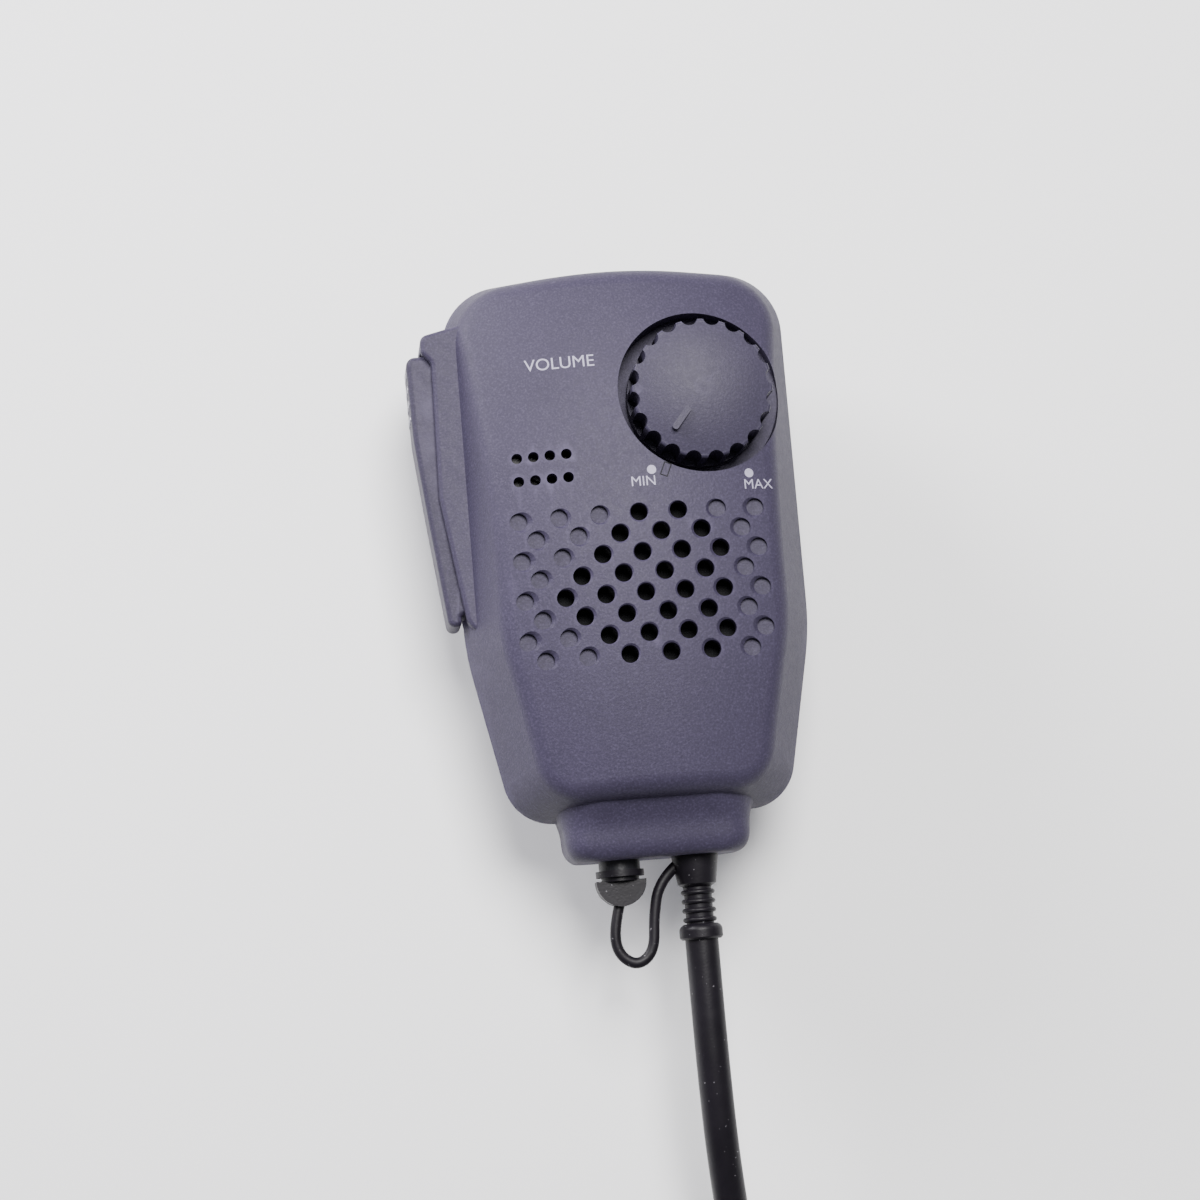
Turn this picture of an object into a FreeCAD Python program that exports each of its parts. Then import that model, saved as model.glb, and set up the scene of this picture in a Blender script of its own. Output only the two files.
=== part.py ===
"""A radio hand microphone with a speaker, a volume knob, a side talk lever and a belt clip.

Row frame, millimetres: X to the knob's side, Y towards the head, Z out of the front.
The microphone lies on its back, on the flat face of its belt clip, which is z = 0.
"""
import FreeCAD, Part
import math
import os
import re
import Sketcher
from FreeCAD import Placement, Rotation, Vector

# Driving dimensions. Each one is a cell of the sheet, and formulas name them.
SIZES = {
    # heights, from the rest face up
    "jaw_thick": 1.8, "clip_gap": 4.6, "clip_thick": 2.8, "washer_z": 9.5,
    "back_z": 10.5, "parting_z": 21.0, "apex_z": 35.5, "crown_radius": 61.0,
    # housing
    "half_width": 25.0, "head_y": 42.8, "wall": 1.8, "edge_round": 3.6, "back_round": 2.4,
    "apex_y": -4.5, "bow_radius": 155.0, "neck_room": 11.2, "neck_low_z": 15.8, "neck_high_z": 25.9,
    "neck_end_y": -42.3, "head_bow": 1.6, "heel_y": -36.4, "heel_top_y": -32.6, "chin_half": 19.8,
    "front_z": 36.5, "screw_head": 2.1,
    # speaker grille
    "hole_radius": 1.25, "row_pitch": 2.846, "odd_pitch": 5.6, "even_pitch": 5.824, "blind_depth": 0.9,
    "speaker_x": 1.1, "speaker_y": -6.5, "speaker_radius": 16.0, "speaker_z": 30.6,
    "mic_hole_radius": 0.75, "mic_x": -12.85, "mic_y": 12.9, "mic_pitch": 2.3, "mic_row": 1.7,
    # volume control
    "knob_x": 10.65, "knob_y": 22.75, "well_radius": 12.0, "well_floor": 25.5, "well_wall": 1.3,
    "knob_radius": 10.1, "knob_gap": 0.4, "knob_edge_z": 34.2, "knob_dome": 1.5, "flute_radius": 1.2,
    "flute_count": 20, "shaft_radius": 3.0, "bushing_radius": 4.2, "running_gap": 0.05, "pot_radius": 8.0,
    # circuit board
    "board_z": 14.6, "board_thick": 1.6, "board_half": 19.0,
    # talk lever
    "slot_low_z": 14.3, "slot_high_z": 23.6, "slot_top_y": 33.0, "slot_end_y": -6.4, "lever_gap": 0.35,
    "lever_end_y": -7.4,
    "pin_x": -22.3, "pin_y": -3.5, "pin_radius": 0.9, "hood_low_z": 12.9, "hood_high_z": 24.9,
    "switch_y": 14.0, "spring_y": 25.0, "plunger_z": 19.4,
    # neck: earphone socket and cable
    "side_x": 5.45, "cord_radius": 2.4, "socket_nose": 2.95, "socket_bore": 1.8, "socket_end_y": -43.7,
    "relief_end_y": -54.3,
    # belt clip
    "clip_half": 9.5, "jaw_end_y": -25.0, "hinge_y": 14.0, "hinge_z": 4.1,
    "swivel_y": 2.0, "swivel_radius": 1.5, "hinge_radius": 1.1,
    # fasteners
    "screw_radius": 1.25, "boss_radius": 2.8,
    # cord on the table
    "coil_x": -15.0, "coil_y": -136.0, "coil_radius": 27.0,
    # radio plug
    "plug_y": -205.0, "plug_pitch": 11.43, "plug_large": 1.75, "plug_small": 1.25, "plug_z": 4.6,
}
# Cross-sections of the neck: y, half width, top, bottom and corner radius.
NECK = [
    (-29.0, 15.0, 29.6, 12.6, 8.0),
    (-34.0, 14.8, 29.9, 12.8, 8.0),
    (-36.2, 13.9, 28.7, 13.3, 5.5),
    (-38.2, 13.3, 28.0, 13.7, 4.0),
    (-40.2, 13.1, 27.7, 13.9, 3.4),
    (-41.6, 12.5, 27.1, 14.4, 3.2),
    (-42.3, 11.5, 26.1, 15.3, 3.0),
]
D = SIZES
DOC = FreeCAD.newDocument("hand_microphone")
NODES = []
TURN = {
    "z": Rotation(),
    "x": Rotation(Vector(0, 1, 0), 90),
    "-x": Rotation(Vector(0, 1, 0), -90),
    "y": Rotation(Vector(1, 0, 0), -90),
    "-y": Rotation(Vector(1, 0, 0), 90),
}


def make_sheet():
    sheet = DOC.addObject("Spreadsheet::Sheet", "dims")
    for row, (alias, value) in enumerate(SIZES.items(), start=1):
        sheet.set("A%d" % row, alias)
        sheet.set("B%d" % row, str(value))
        sheet.setAlias("B%d" % row, alias)
    DOC.recompute()


def formula(text):
    """Write a formula's size names the way the document reads them."""
    return re.sub(r"[a-z_]+", lambda word: "dims." + word[0] if word[0] in SIZES else word[0], text)


def bind(thing, **formulas):
    for name, text in formulas.items():
        thing.setExpression(name, formula(text))
    return thing


def put(thing, x="0", y="0", z="0"):
    for letter, text in zip("xyz", (x, y, z)):
        thing.setExpression("Placement.Base." + letter, formula(text))
    return thing


def node(thing, label):
    """Make an object one of the finished pieces."""
    thing.Label = label
    NODES.append(thing)
    return thing


# Solids made from primitives


def cylinder(radius, length, x="0", y="0", z="0", axis="z"):
    thing = DOC.addObject("Part::Cylinder", "Cylinder")
    thing.Placement.Rotation = TURN[axis]
    return put(bind(thing, Radius=radius, Height=length), x, y, z)


def cone(radius, far_radius, length, x="0", y="0", z="0", axis="z"):
    thing = DOC.addObject("Part::Cone", "Cone")
    thing.Placement.Rotation = TURN[axis]
    return put(bind(thing, Radius1=radius, Radius2=far_radius, Height=length), x, y, z)


def box(length, width, height, x, y, z):
    """A block from its low corner."""
    thing = DOC.addObject("Part::Box", "Box")
    return put(bind(thing, Length=length, Width=width, Height=height), x, y, z)


def fuse(*things):
    joined = DOC.addObject("Part::MultiFuse", "Fuse")
    joined.Shapes = list(things)
    return joined


def common(*things):
    shared = DOC.addObject("Part::MultiCommon", "Common")
    shared.Shapes = list(things)
    return shared


def cut(base, *tools):
    left = DOC.addObject("Part::Cut", "Cut")
    left.Base = base
    left.Tool = tools[0] if len(tools) == 1 else fuse(*tools)
    return left


def group(*things):
    together = DOC.addObject("Part::Compound", "Group")
    together.Links = list(things)
    return together


# Bodies made from sketches


def new_body(name):
    return DOC.addObject("PartDesign::Body", name)


def sketch(body, role="XY_Plane", level="0", shift="0"):
    plane = next(item for item in body.Origin.OriginFeatures if item.Role == role)
    drawing = body.newObject("Sketcher::SketchObject", "Sketch")
    drawing.AttachmentSupport = (plane, [""])
    drawing.MapMode = "FlatFace"
    drawing.setExpression("AttachmentOffset.Base.z", formula(level))
    drawing.setExpression("AttachmentOffset.Base.y", formula(shift))
    return drawing


def trace(drawing, start, *steps):
    """Draw a closed outline. A step is an end point, or an arc's middle and end points."""
    here = Vector(*start, 0)
    for step in steps + (start,):
        if isinstance(step[0], tuple):
            middle, end = Vector(*step[0], 0), Vector(*step[1], 0)
            drawing.addGeometry(Part.Arc(here, middle, end), False)
        else:
            end = Vector(*step, 0)
            if (end - here).Length > 1e-6:
                drawing.addGeometry(Part.LineSegment(here, end), False)
        here = end
    return drawing


def ring(drawing, x, y, radius):
    """Draw a circle whose radius follows a formula's value."""
    index = drawing.addGeometry(Part.Circle(Vector(x, y, 0), Vector(0, 0, 1), 1.0), False)
    rule = drawing.addConstraint(Sketcher.Constraint("Radius", index, 1.0))
    drawing.setExpression("Constraints[%d]" % rule, formula(radius))
    for kind, value in (("DistanceX", x), ("DistanceY", y)):
        if abs(value) > 1e-9:
            drawing.addConstraint(Sketcher.Constraint(kind, -1, 1, index, 3, value))
    return drawing


def pad(body, drawing, length, taper=0.0):
    feature = body.newObject("PartDesign::Pad", "Pad")
    feature.Profile = drawing
    feature.TaperAngle = taper
    return bind(feature, Length=length)


def pocket(body, drawing, length, reverse=False):
    feature = body.newObject("PartDesign::Pocket", "Pocket")
    feature.Profile = drawing
    feature.Reversed = reverse
    return bind(feature, Length=length)


def revolve(body, drawing, axis="V_Axis", kind="Revolution"):
    feature = body.newObject("PartDesign::" + kind, kind)
    feature.Profile = drawing
    feature.ReferenceAxis = (drawing, [axis])
    feature.Angle = 360
    return feature


def round_edges(body, feature, chosen, radius, kind="Fillet"):
    """Round the edges of a feature that a test on the edge's middle point picks."""
    DOC.recompute()
    names = []
    for index, edge in enumerate(feature.Shape.Edges, start=1):
        middle = edge.valueAt((edge.FirstParameter + edge.LastParameter) / 2)
        if edge.Length > 0.4 and chosen(edge, middle):
            names.append("Edge%d" % index)
    rounding = body.newObject("PartDesign::" + kind, kind)
    rounding.Base = (feature, names)
    return bind(rounding, **{"Radius" if kind == "Fillet" else "Size": radius})


# Housing


def rounded(drawing, corners):
    """Draw a closed outline of straight lines with a tangent arc at each corner (x, y, radius).

    A corner whose radius is None stays sharp.
    """
    points = [Vector(x, y, 0) for x, y, radius in corners]
    path = []
    for index, corner in enumerate(points):
        radius = corners[index][2]
        if radius is None:
            path.append((corner.x, corner.y))
            continue
        back = (points[index - 1] - corner).normalize()
        ahead = (points[(index + 1) % len(points)] - corner).normalize()
        half = back.getAngle(ahead) / 2
        reach = radius / math.tan(half)
        toward = (back + ahead).normalize()
        middle = corner + toward * (radius / math.sin(half) - radius)
        begin, end = corner + back * reach, corner + ahead * reach
        path += [(begin.x, begin.y), ((middle.x, middle.y), (end.x, end.y))]
    start = path[-1][1] if corners[-1][2] else path[-1]
    return trace(drawing, start, *path)


def mirrored(right):
    """Corners of the right half, top to bottom, followed by the left half's."""
    return right + [(-x, y, radius) for x, y, radius in reversed(right)]


def body_corners(side, top, bow, chin, heel, inset):
    """The plan of the housing's main block, whose lower sides lean in to the chin."""
    w = side - inset
    return [(0.0, top + bow - inset, 3.6 * side)] + mirrored([
        (w, top - 1.6 - inset, 9.0 - inset),
        (w, -11.0, 40.0),
        (chin - inset, heel + inset, 7.0 - 0.6 * inset),
    ])


def lofted(name, first, last, level, far_level):
    """A block between two plans."""
    body = new_body(name)
    near = rounded(sketch(body, level=level), first)
    far = rounded(sketch(body, level=far_level), last)
    loft = body.newObject("PartDesign::AdditiveLoft", "Loft")
    loft.Profile = near
    loft.Sections = [far]
    loft.Ruled = True
    return body, loft


def crown_groove(body, height, bow):
    """Cut a block's front to a crown that also bows along Y."""
    crown = sketch(body, "YZ_Plane", shift="apex_z - crown_radius")
    heights = [height - bow + math.sqrt(bow**2 - (y - D["apex_y"]) ** 2) for y in (60.0, 0.0, -60.0)]
    trace(
        crown,
        (60.0, heights[0]),
        ((0.0, heights[1]), (-60.0, heights[2])),
        (-60.0, height + 30.0),
        (60.0, height + 30.0),
    )
    groove = revolve(body, crown, "H_Axis", "Groove")
    groove.Midplane = True
    groove.Angle = 120
    return groove


def front_block(name, inset, base, rounding):
    """The front half's main block: the housing itself, or its hollow with an inset."""
    lower = body_corners(D["half_width"], D["head_y"], D["head_bow"], D["chin_half"], D["heel_y"], inset)
    upper = body_corners(18.0, D["head_y"] - 3.2, 0.9, 12.6, D["heel_top_y"], inset)
    body, _ = lofted(name, lower, upper, base, "front_z")
    block = crown_groove(body, D["crown_radius"] - inset, D["bow_radius"])
    level = D["parting_z"] + 3.0
    if rounding:
        round_edges(body, block, lambda edge, middle: lowest(edge) > level, rounding)
    return body


def neck(front):
    """One half of the neck, flared where it leaves the chin and eased in at its end."""
    body = new_body("neck")
    drawings = []
    parting = D["parting_z"]
    for y, half, top, bottom, radius in NECK:
        far = top if front else bottom
        corners = [(half, parting, None), (-half, parting, None), (-half, far, radius), (half, far, radius)]
        drawings.append(rounded(sketch(body, "XZ_Plane", level=str(-y)), corners))
    loft = body.newObject("PartDesign::AdditiveLoft", "Loft")
    loft.Profile = drawings[0]
    loft.Sections = drawings[1:]
    return body


def neck_hollow():
    """The room inside the neck, open to the housing's."""
    return box("2 * neck_room", "-20 - neck_end_y - wall", "neck_high_z - neck_low_z",
               "-neck_room", "neck_end_y + wall", "neck_low_z")


def lowest(edge):
    return min(point.Z for point in edge.Vertexes)


def rear_block(name, low, high, plan, back, rounding=None):
    """A tapered block that narrows from the parting plane to the back."""
    body, loft = lofted(name, plan, back, high, low)
    if rounding:
        level = D["back_z"] + 0.2
        round_edges(body, loft, lambda edge, middle: highest(edge) < level, rounding)
    return body


def highest(edge):
    return max(point.Z for point in edge.Vertexes)


def hood():
    """The raised surround of the talk lever, on both halves."""
    body = new_body("hood")
    plan = rounded(
        sketch(body, level="hood_low_z"),
        [
            (-20.0, 36.8, 0.5),
            (-28.3, 34.8, 1.2),
            (-28.3, 32.3, 0.9),
            (-26.9, 30.8, 1.2),
            (-27.2, 11.0, 6.0),
            (-24.3, -8.6, 3.0),
            (-20.0, -9.0, 0.5),
        ],
    )
    block = pad(body, plan, "hood_high_z - hood_low_z")
    low, high = D["hood_low_z"] + 0.1, D["hood_high_z"] - 0.1

    def rim(edge, middle):
        flat = highest(edge) < low or lowest(edge) > high
        return flat and middle.x < -21.0 and middle.y < 35.4 and edge.Length > 3.0

    round_edges(body, block, rim, "0.7")
    return body


def above(thing, level="parting_z"):
    return common(thing, box("80", "120", "30", "-40", "-70", level))


def below(thing, level="parting_z"):
    return common(thing, box("80", "120", "30", "-40", "-70", level + " - 30"))


def crown_drop(x, y):
    """How far the crown has fallen at a place, below its apex."""
    bow, crown = D["bow_radius"], D["crown_radius"]
    reach = crown - bow + math.sqrt(bow**2 - (y - D["apex_y"]) ** 2)
    return crown - math.sqrt(reach**2 - x**2)


def grille_holes():
    """Cutters of the speaker holes. Those in front of the speaker go through, the others are blind."""
    open_reach = 12.75
    tools = []
    for row in range(8):
        count = 6 if row % 2 else 7
        pitch = D["even_pitch"] if row % 2 else D["odd_pitch"]
        y = D["apex_y"] + (3.5 - row) * D["row_pitch"]
        for column in range(count):
            x = (column - (count - 1) / 2) * pitch
            reach = math.hypot(x - D["speaker_x"], y - D["apex_y"] + 1.4)
            surface = "apex_z - %.3f" % crown_drop(x, y)
            floor = "apex_z - 6" if reach < open_reach else surface + " - blind_depth"
            place = ("%.3f" % x, "%.3f" % y)
            tools.append(cylinder("hole_radius", "8", *place, floor))
            tools.append(cone("hole_radius - 0.3", "hole_radius + 0.7", "1", *place, surface + " - 0.45"))
    return tools


def mic_holes():
    tools = []
    for column in range(4):
        for row in (-1, 1):
            x = "mic_x + %.1f * mic_pitch" % (column - 1.5)
            tools.append(cylinder("mic_hole_radius", "9", x, "mic_y + %d * mic_row" % row, "apex_z - 8"))
    return tools


def screw_places():
    return [(18.2, 35.2), (-18.2, 35.2), (13.6, -29.2), (-13.6, -29.2)]


def slot():
    return box("8", "slot_top_y - slot_end_y", "slot_high_z - slot_low_z", "-29", "slot_end_y", "slot_low_z")


def make_front_shell():
    wall = D["wall"]
    solid = fuse(
        front_block("front", 0.0, "parting_z", "edge_round"),
        neck(True),
        above(hood()),
    )
    hollow = fuse(
        front_block("front_hollow", wall, "parting_z - 1", None),
        neck_hollow(),
    )
    inside = [cylinder("well_radius + well_wall", "14", "knob_x", "knob_y", "well_floor - well_wall")]
    inside.append(cut(
        cylinder("speaker_radius + 1.2", "9", "speaker_x", "speaker_y", "speaker_z - 3"),
        cylinder("speaker_radius + 0.15", "9", "speaker_x", "speaker_y", "speaker_z - 3"),
    ))
    inside.append(cut(
        cylinder("5.8", "9", "mic_x", "mic_y", "speaker_z - 3"),
        cylinder("4.75", "9", "mic_x", "mic_y", "speaker_z - 3"),
    ))
    for x, y in screw_places():
        inside.append(cylinder("boss_radius", "14", str(x), str(y), "parting_z"))
    inside.append(box("3.6", "6", "5", "pin_x - 1.8", "pin_y - 3", "slot_high_z"))
    blank = common(
        front_block("front_trim", wall / 2, "parting_z", None),
        fuse(*inside),
    )
    tools = grille_holes() + mic_holes()
    tools.append(cylinder("well_radius", "20", "knob_x", "knob_y", "well_floor"))
    tools.append(cylinder("bushing_radius - 0.7", "6", "knob_x", "knob_y", "well_floor - 3"))
    tools.append(slot())
    tools.append(cylinder("pin_radius", "1.5", "pin_x", "pin_y", "slot_high_z - 0.5"))
    for x, y in screw_places():
        tools.append(cylinder("screw_radius", "4.4", str(x), str(y), "parting_z - 1"))
    tools += neck_openings()
    node(cut(fuse(cut(solid, hollow), blank), *tools), "front_shell")


def neck_openings():
    """The earphone socket's nose and the strain relief's collar leave through the parting plane."""
    socket = cylinder("socket_nose", "12", "-side_x", "-34", "parting_z", "-y")
    relief = cylinder("3.4", "12", "side_x", "-34", "parting_z", "-y")
    return [socket, relief]


def rear_plans(inset):
    """The main block's plans at the parting plane and at the back."""
    side, top, bow, chin, heel = (D[name] for name in ("half_width", "head_y", "head_bow", "chin_half", "heel_y"))
    return (
        body_corners(side, top, bow, chin, heel, inset),
        body_corners(side - 2.6, top - 2.0, bow, chin - 2.0, heel + 1.8, inset),
    )


def rear_solid():
    """The outside of the rear half."""
    return fuse(
        rear_block("rear", "back_z", "parting_z", *rear_plans(0.0), "back_round"),
        neck(False),
        below(hood()),
    )


def rear_hollow():
    """The room inside the rear half."""
    room = rear_block("rear_hollow", "back_z + wall", "parting_z + 1", *rear_plans(D["wall"]))
    return fuse(room, neck_hollow())


def make_rear_shell():
    posts = [box("3.6", "6", "slot_low_z - back_z - 1", "pin_x - 1.8", "pin_y - 3", "back_z + 1")]
    for x, y in screw_places():
        posts.append(cylinder("boss_radius", "parting_z - back_z - 1", str(x), str(y), "back_z + 1"))
    for x, y in board_screw_places():
        posts.append(cylinder("2.4", "board_z - back_z - 1", str(x), str(y), "back_z + 1"))
    posts.append(cylinder("4", "2.9", "0", "swivel_y", "back_z + 1"))
    tools = [slot(), cylinder("pin_radius", "2", "pin_x", "pin_y", "slot_low_z - 1.5")]
    for x, y in screw_places():
        tools.append(cylinder("screw_radius", "20", str(x), str(y), "back_z - 2"))
        tools.append(cylinder("screw_head + 0.2", "4.2", str(x), str(y), "back_z - 2"))
    for x, y in board_screw_places():
        tools.append(cylinder("0.9", "5", str(x), str(y), "board_z - 3"))
    tools.append(cylinder("swivel_radius", "4.5", "0", "swivel_y", "back_z - 1"))
    tools += neck_openings()
    node(cut(fuse(cut(rear_solid(), rear_hollow()), *posts), *tools), "rear_shell")


def board_screw_places():
    return [(-15.5, -16.0), (15.5, -16.0)]


def make_fasteners():
    screws = []
    for x, y in screw_places():
        head = cylinder("screw_head", "1.6", str(x), str(y), "back_z + 0.6")
        shank = cylinder("screw_radius - 0.05", "11.6", str(x), str(y), "back_z + 2.2")
        slotted = box("3", "0.6", "0.7", "%s - 1.5" % x, "%s - 0.3" % y, "back_z + 0.3")
        screws.append(cut(fuse(head, shank), slotted))
    node(group(*screws), "shell_screws")
    small = []
    for x, y in board_screw_places():
        head = cylinder("1.7", "1.1", str(x), str(y), "board_z + board_thick")
        shank = cylinder("0.85", "board_thick + 3", str(x), str(y), "board_z - 3")
        small.append(fuse(head, shank))
    node(group(*small), "board_screws")


# Speaker and microphone


def turned(name, points, x="0", y="0", z="0"):
    """A solid turned about the Z axis from a half profile of (radius, height) points."""
    body = new_body(name)
    trace(sketch(body, "XZ_Plane"), *points)
    revolve(body, body.Group[-1])
    put(body, x, y, z)
    return body


def make_speaker():
    r = D["speaker_radius"]
    x, y, z = "speaker_x", "speaker_y", "speaker_z"
    basket = [
        (6.0, -6.0),
        (8.6, -6.0),
        (r - 1.3, -1.4),
        (r, -1.4),
        (r, 0.0),
        (r - 2.2, 0.0),
        (r - 2.2, -1.1),
        (8.0, -5.0),
        (6.0, -5.0),
    ]
    node(turned("basket", basket, x, y, z), "speaker_frame")
    magnet = [(0.0, -10.0), (8.0, -10.0), (8.0, -6.0), (0.0, -6.0)]
    node(turned("magnet", magnet, x, y, z), "speaker_magnet")
    cone_part = [
        (0.0, -2.6),
        (2.4, -2.9),
        (4.6, -4.4),
        (r - 3.6, -0.9),
        (r - 2.9, -0.4),
        (r - 2.3, -0.7),
        (r - 2.3, -1.0),
        (r - 2.9, -0.7),
        (r - 3.5, -1.2),
        (4.6, -4.7),
        (2.3, -3.2),
        (0.0, -2.9),
    ]
    node(turned("cone", cone_part, x, y, z), "speaker_cone")
    cloth = cylinder("speaker_radius", "0.3", x, y, z)
    node(cloth, "speaker_cloth")
    boot = [(3.05, -4.0), (4.5, -4.0), (4.5, -0.4), (1.4, -0.4), (1.4, -1.0), (3.05, -1.0)]
    node(turned("boot", boot, "mic_x", "mic_y", z + " - 0.4"), "mic_boot")
    node(cylinder("3", "2.7", "mic_x", "mic_y", "speaker_z - 4.1"), "mic_capsule")


# Volume control


def dome_point(radius):
    """A point of the knob's domed top, which is part of a sphere centred on the knob's axis."""
    rise, reach = D["knob_dome"], D["knob_radius"] - 0.5
    ball = (reach**2 + rise**2) / (2 * rise)
    return (radius, D["knob_edge_z"] + rise - ball + math.sqrt(ball**2 - radius**2))


def make_knob():
    low = D["well_floor"] + D["knob_gap"]
    r, edge = D["knob_radius"], D["knob_edge_z"]
    body = new_body("knob")
    trace(
        sketch(body, "XZ_Plane"),
        (0.0, low),
        (r, low),
        (r, edge - 0.5),
        ((r - 0.15, edge - 0.15), (r - 0.5, edge)),
        (dome_point((r - 0.5) / 2), (0.0, edge + D["knob_dome"])),
    )
    revolve(body, body.Group[-1])
    DOC.recompute()
    half_step = math.pi / D["flute_count"]
    aim = math.radians(-129.0)
    first = turn_about(r + 0.25, 0.0, aim + half_step)
    scoop = ring(sketch(body, level="well_floor + 2.2"), *first, "flute_radius")
    flute = pocket(body, scoop, "20", True)
    DOC.recompute()
    pattern = body.newObject("PartDesign::PolarPattern", "Flutes")
    pattern.Originals = [flute]
    pattern.Axis = (scoop, ["N_Axis"])
    pattern.Angle = 360
    bind(pattern, Occurrences="flute_count")
    body.Tip = pattern
    bore = ring(sketch(body, level="well_floor"), 0.0, 0.0, "shaft_radius")
    pocket(body, bore, "5", True)
    pointer = sketch(body, level="knob_edge_z - 0.5")
    bar = ((3.8, -0.45), (7.6, -0.45), (7.6, 0.45), (3.8, 0.45))
    rounded(pointer, [turn_about(x, y, aim) + (0.4,) for x, y in bar])
    pad(body, pointer, "knob_dome + 0.6")
    put(body, "knob_x", "knob_y")
    node(body, "volume_knob")


def turn_about(x, y, angle):
    return (x * math.cos(angle) - y * math.sin(angle), x * math.sin(angle) + y * math.cos(angle))


def make_volume_control():
    make_knob()
    x, y = "knob_x", "knob_y"
    base = "board_z + board_thick"
    top = "well_floor - well_wall"
    can = cut(
        cylinder("pot_radius", "5.2", x, y, base),
        cylinder("shaft_radius + running_gap", "2.2", x, y, base + " + 3"),
    )
    node(can, "potentiometer_can")
    bush = cut(
        cylinder("bushing_radius", "%s - (%s) - 5.2" % (top, base), x, y, base + " + 5.2"),
        cylinder("shaft_radius + running_gap", "6", x, y, base + " + 5"),
    )
    node(bush, "potentiometer_bushing")
    node(cylinder("shaft_radius", "well_floor + 5 - (%s) - 3.4" % base, x, y, base + " + 3.4"), "volume_shaft")


# Circuit board


def make_board():
    body = new_body("board")
    half = D["board_half"]
    corners = mirrored([(half, 31.0, 3.0), (half, -14.0, 6.0), (12.0, -25.5, 2.0)])
    pad(body, rounded(sketch(body, level="board_z"), corners), "board_thick")
    for x, y in board_screw_places():
        pocket(body, ring(sketch(body, level="board_z"), x, y, "0.95"), "9", True)
    node(body, "circuit_board")
    chips = []
    for x, y, length, width in ((-8.0, 20.0, 8.0, 6.0), (6.0, 4.0, 5.0, 5.0), (-12.0, -2.0, 4.0, 6.0)):
        chips.append(box(str(length), str(width), "1.5", str(x), str(y), "board_z + board_thick"))
    node(group(*chips), "board_chips")


# Talk lever


def make_lever():
    body = new_body("lever")
    plan = rounded(
        sketch(body, level="slot_low_z + lever_gap"),
        [
            (-24.3, 32.2, 0.5),
            (-30.5, 32.2, 1.3),
            (-30.2, 20.0, 20.0),
            (-28.9, 8.0, 20.0),
            (-27.1, D["lever_end_y"], 1.0),
            (-25.2, D["lever_end_y"], 0.8),
            (-25.2, -5.9, 0.3),
            (-23.2, -5.7, 0.8),
            (-20.6, -5.3, 1.2),
            (-20.6, -1.8, 1.2),
            (-24.3, 1.5, 1.5),
        ],
    )
    block = pad(body, plan, "slot_high_z - slot_low_z - 2 * lever_gap")
    low, high = D["slot_low_z"] + 0.4, D["slot_high_z"] - 0.4

    def rim(edge, middle):
        return (highest(edge) < low or lowest(edge) > high) and middle.x < -26.0 and edge.Length > 0.6

    round_edges(body, block, rim, "0.8")
    bore = ring(sketch(body, level="slot_low_z"), D["pin_x"], D["pin_y"], "pin_radius + running_gap")
    pocket(body, bore, "20", True)
    node(body, "talk_lever")
    make_dots()
    length = "slot_high_z - slot_low_z + 2.2"
    node(cylinder("pin_radius", length, "pin_x", "pin_y", "slot_low_z - 1.3"), "lever_pin")


def make_dots():
    """Four rows of three grip dots, let into the face of the talk lever."""
    dots = []
    for row in range(4):
        for column in (-1, 0, 1):
            height = "(slot_low_z + slot_high_z) / 2 + %.1f" % (2.3 * column)
            face = "%.2f" % (-30.5 + 0.03 * row)
            dots.append(cylinder("0.55", "0.6", face, "%.1f" % (30.0 - 2.2 * row), height, "x"))
    node(group(*dots), "lever_dots")


def make_switch():
    base = "board_z + board_thick"
    case = box("4.4", "6", "6", "-20.9", "switch_y - 3", base)
    node(cut(case, cylinder("1", "2.4", "-21", "switch_y", "plunger_z", "x")), "talk_switch")
    node(cylinder("0.92", "4.3", "-24.2", "switch_y", "plunger_z", "x"), "switch_plunger")


def coil_spring(name, wire, radius, turns, length, x, y, z):
    """A spring of round wire wound about a line along X that starts at x."""
    helix = Part.makeHelix(length / turns, length, radius)
    profile = Part.Wire([Part.Circle(Vector(radius, 0, 0), Vector(0, 1, 0), wire).toShape()])
    spring = DOC.addObject("Part::Feature", name + "_wire")
    spring.Shape = Part.Wire(helix.Edges).makePipeShell([profile], True, True)
    spring.Placement = Placement(Vector(x, y, z), TURN["x"])
    node(spring, name)


def make_lever_spring():
    """The lever's return spring, from its inner face to the rib beside the board."""
    coil_spring("lever_spring", 0.3, 1.9, 4, 5.4, -24.0, D["spring_y"], D["plunger_z"] - 0.4)
    seat = cut(
        box("1.6", "7", "6.2", "-17.9", "spring_y - 3.5", "board_z + board_thick"),
        cylinder("1", "4", "-19", "spring_y", "plunger_z - 0.4", "x"),
    )
    node(seat, "spring_seat")


# Neck: earphone socket with its cap, and the cable's strain relief


def turned_along(name, points, x):
    """A solid turned about a line along Y at the parting height, from (radius, y) points."""
    body = new_body(name)
    trace(sketch(body), *points)
    revolve(body, body.Group[-1])
    put(body, x, "0", "parting_z")
    return body


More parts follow.
